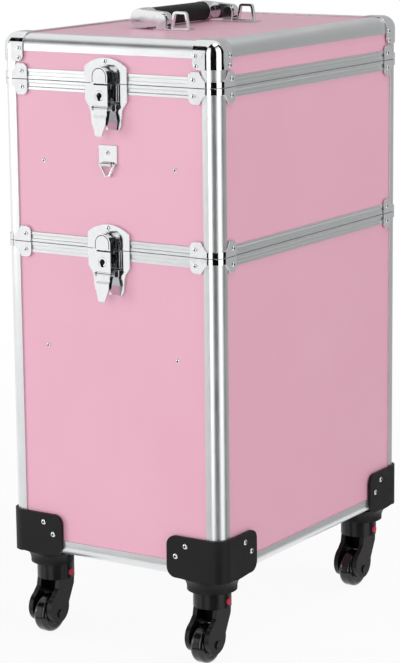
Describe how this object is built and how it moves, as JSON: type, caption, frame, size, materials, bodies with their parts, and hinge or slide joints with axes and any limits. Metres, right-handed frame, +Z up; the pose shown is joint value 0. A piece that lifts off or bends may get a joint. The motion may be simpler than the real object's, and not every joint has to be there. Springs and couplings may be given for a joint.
{
  "type": "rolling makeup case",
  "caption": "Upright makeup case on swivel casters: hinged lid, lift-off upper case, deep lower case, cam latches, sliding trays, folding carry handle and telescopic pull handle.",
  "frame": {"origin": "centre of the bounding box at floor level, under the wheels", "axes": "+Z up, -Y towards the front with the latches, +X to the right seen from the front"},
  "size_m": [0.289, 0.384, 0.632],
  "materials": {
    "pink_laminate": "satin pink laminate",
    "aluminium_trim": "brushed anodised",
    "aluminium_plain": "satin anodised",
    "chrome_fitting": "polished nickel plate",
    "black_plastic": "fine grained",
    "fork_plastic": "semi-gloss",
    "tray_plastic": "matte",
    "lining_cloth": "short pile",
    "wheel_rubber": "glossy polyurethane",
    "red_plastic": "glossy"
  },
  "bodies": {
    "lower_case": {"lower_panels": "pink_laminate", "lower_frame": "aluminium_trim", "lower_seam_corners": "chrome_fitting", "lower_rivets": "chrome_fitting", "lower_lining": "lining_cloth", "caster_sockets": "black_plastic", "lower_latch_bases": "chrome_fitting", "pull_outer_tubes": "aluminium_plain", "pull_brackets": "black_plastic", "lower_tray_rails": "aluminium_plain"},
    "lower_tray": {"lower_tray": "tray_plastic"},
    "upper_case": {"upper_panels": "pink_laminate", "upper_frame": "aluminium_trim", "upper_seam_corners": "chrome_fitting", "upper_rivets": "chrome_fitting", "upper_lining": "lining_cloth", "upper_latch_base": "chrome_fitting", "upper_strikes": "chrome_fitting", "strap_ring_plates": "chrome_fitting", "upper_tray_rails": "aluminium_plain", "hinge_case_leaf": "chrome_fitting", "hinge_pin": "chrome_fitting"},
    "upper_tray": {"upper_tray": "tray_plastic"},
    "lid": {"lid_panels": "pink_laminate", "lid_frame": "aluminium_trim", "lid_ball_corners": "chrome_fitting", "lid_seam_corners": "chrome_fitting", "lid_rivets": "chrome_fitting", "lid_lining": "lining_cloth", "lid_strike": "chrome_fitting", "handle_brackets": "chrome_fitting", "hinge_lid_leaf": "chrome_fitting"},
    "handle": {"handle_grip": "black_plastic", "handle_ends": "chrome_fitting"},
    "lid_lever": {"lid_latch_lever": "chrome_fitting"},
    "lid_hook": {"lid_latch_hook": "chrome_fitting"},
    "lid_plug": {"lid_latch_plug": "chrome_fitting"},
    "case_lever": {"case_latch_lever": "chrome_fitting"},
    "case_hook": {"case_latch_hook": "chrome_fitting"},
    "case_plug": {"case_latch_plug": "chrome_fitting"},
    "rear_lever": {"rear_latch_lever": "chrome_fitting"},
    "rear_hook": {"rear_latch_hook": "chrome_fitting"},
    "ring_front": {"strap_ring_front": "chrome_fitting"},
    "ring_back": {"strap_ring_back": "chrome_fitting"},
    "pull_middle": {"pull_middle_tubes": "aluminium_plain"},
    "pull_inner": {"pull_inner_tubes": "aluminium_plain", "pull_grip": "black_plastic"},
    "pull_button": {"pull_button": "red_plastic"},
    "fork_fl": {"caster_fork_fl": "fork_plastic"},
    "wheel_fl": {"caster_wheel_fl": "wheel_rubber"},
    "button_fl": {"caster_button_fl": "red_plastic"},
    "fork_fr": {"caster_fork_fr": "fork_plastic"},
    "wheel_fr": {"caster_wheel_fr": "wheel_rubber"},
    "button_fr": {"caster_button_fr": "red_plastic"},
    "fork_bl": {"caster_fork_bl": "fork_plastic"},
    "wheel_bl": {"caster_wheel_bl": "wheel_rubber"},
    "button_bl": {"caster_button_bl": "red_plastic"},
    "fork_br": {"caster_fork_br": "fork_plastic"},
    "wheel_br": {"caster_wheel_br": "wheel_rubber"},
    "button_br": {"caster_button_br": "red_plastic"}
  },
  "joints": [
    {"name": "upper_lift", "type": "slide", "parent": "lower_case", "child": "upper_case", "axis": [0, 0, 1], "range_m": [0, 0.2]},
    {"name": "lid_hinge", "type": "hinge", "parent": "upper_case", "child": "lid", "pos_m": [0.01545, 0.1802, 0.569], "axis": [-1, 0, 0], "range_deg": [0, 100]},
    {"name": "handle_fold", "type": "hinge", "parent": "lid", "child": "handle", "pos_m": [0.00645, 0, 0.622], "axis": [0, 1, 0], "range_deg": [0, 105]},
    {"name": "lid_lever_turn", "type": "hinge", "parent": "upper_case", "child": "lid_lever", "pos_m": [0.01545, -0.183, 0.546], "axis": [-1, 0, 0], "range_deg": [0, 80]},
    {"name": "lid_hook_turn", "type": "hinge", "parent": "lid_lever", "child": "lid_hook", "pos_m": [0.01545, -0.188, 0.546], "axis": [-1, 0, 0], "range_deg": [-108, 0]},
    {"name": "lid_plug_turn", "type": "hinge", "parent": "lid_hook", "child": "lid_plug", "pos_m": [0.01545, -0.177, 0.5582], "axis": [0, -1, 0], "range_deg": [0, 90]},
    {"name": "case_lever_turn", "type": "hinge", "parent": "lower_case", "child": "case_lever", "pos_m": [0.01545, -0.183, 0.385], "axis": [-1, 0, 0], "range_deg": [0, 80]},
    {"name": "case_hook_turn", "type": "hinge", "parent": "case_lever", "child": "case_hook", "pos_m": [0.01545, -0.188, 0.385], "axis": [-1, 0, 0], "range_deg": [-108, 0]},
    {"name": "case_plug_turn", "type": "hinge", "parent": "case_hook", "child": "case_plug", "pos_m": [0.01545, -0.177, 0.3972], "axis": [0, -1, 0], "range_deg": [0, 90]},
    {"name": "rear_lever_turn", "type": "hinge", "parent": "lower_case", "child": "rear_lever", "pos_m": [0.01545, 0.183, 0.385], "axis": [1, 0, 0], "range_deg": [0, 80]},
    {"name": "rear_hook_turn", "type": "hinge", "parent": "rear_lever", "child": "rear_hook", "pos_m": [0.01545, 0.188, 0.385], "axis": [1, 0, 0], "range_deg": [-108, 0]},
    {"name": "ring_front_swing", "type": "hinge", "parent": "upper_case", "child": "ring_front", "pos_m": [0.01545, -0.1785, 0.491], "axis": [-1, 0, 0], "range_deg": [0, 150]},
    {"name": "ring_back_swing", "type": "hinge", "parent": "upper_case", "child": "ring_back", "pos_m": [0.01545, 0.1785, 0.491], "axis": [1, 0, 0], "range_deg": [0, 150]},
    {"name": "pull_middle_slide", "type": "slide", "parent": "lower_case", "child": "pull_middle", "axis": [0, 0, 1], "range_m": [0, 0.228]},
    {"name": "pull_inner_slide", "type": "slide", "parent": "pull_middle", "child": "pull_inner", "axis": [0, 0, 1], "range_m": [0, 0.228]},
    {"name": "pull_button_press", "type": "slide", "parent": "pull_inner", "child": "pull_button", "axis": [0, 0, -1], "range_m": [0, 0.003], "stiffness_N_per_m": 300},
    {"name": "lower_tray_slide", "type": "slide", "parent": "lower_case", "child": "lower_tray", "axis": [1, 0, 0], "range_m": [0, 0.115]},
    {"name": "upper_tray_slide", "type": "slide", "parent": "upper_case", "child": "upper_tray", "axis": [1, 0, 0], "range_m": [0, 0.115]},
    {"name": "swivel_fl", "type": "hinge", "parent": "lower_case", "child": "fork_fl", "pos_m": [-0.08005, -0.1475, 0.073], "axis": [0, 0, 1], "continuous": true},
    {"name": "wheel_spin_fl", "type": "hinge", "parent": "fork_fl", "child": "wheel_fl", "pos_m": [-0.08005, -0.1595, 0.0195], "axis": [1, 0, 0], "continuous": true},
    {"name": "caster_press_fl", "type": "slide", "parent": "fork_fl", "child": "button_fl", "axis": [-1, 0, 0], "range_m": [0, 0.0015], "stiffness_N_per_m": 300},
    {"name": "swivel_fr", "type": "hinge", "parent": "lower_case", "child": "fork_fr", "pos_m": [0.11095, -0.1475, 0.073], "axis": [0, 0, 1], "continuous": true},
    {"name": "wheel_spin_fr", "type": "hinge", "parent": "fork_fr", "child": "wheel_fr", "pos_m": [0.11095, -0.1595, 0.0195], "axis": [1, 0, 0], "continuous": true},
    {"name": "caster_press_fr", "type": "slide", "parent": "fork_fr", "child": "button_fr", "axis": [-1, 0, 0], "range_m": [0, 0.0015], "stiffness_N_per_m": 300},
    {"name": "swivel_bl", "type": "hinge", "parent": "lower_case", "child": "fork_bl", "pos_m": [-0.08005, 0.1475, 0.073], "axis": [0, 0, 1], "continuous": true},
    {"name": "wheel_spin_bl", "type": "hinge", "parent": "fork_bl", "child": "wheel_bl", "pos_m": [-0.08005, 0.1355, 0.0195], "axis": [1, 0, 0], "continuous": true},
    {"name": "caster_press_bl", "type": "slide", "parent": "fork_bl", "child": "button_bl", "axis": [-1, 0, 0], "range_m": [0, 0.0015], "stiffness_N_per_m": 300},
    {"name": "swivel_br", "type": "hinge", "parent": "lower_case", "child": "fork_br", "pos_m": [0.11095, 0.1475, 0.073], "axis": [0, 0, 1], "continuous": true},
    {"name": "wheel_spin_br", "type": "hinge", "parent": "fork_br", "child": "wheel_br", "pos_m": [0.11095, 0.1355, 0.0195], "axis": [1, 0, 0], "continuous": true},
    {"name": "caster_press_br", "type": "slide", "parent": "fork_br", "child": "button_br", "axis": [-1, 0, 0], "range_m": [0, 0.0015], "stiffness_N_per_m": 300}
  ],
  "couplings": [
    {"joint": "lid_hook_turn", "follows": "lid_lever_turn", "ratio": -1.35},
    {"joint": "case_hook_turn", "follows": "case_lever_turn", "ratio": -1.35},
    {"joint": "rear_hook_turn", "follows": "rear_lever_turn", "ratio": -1.35}
  ]
}
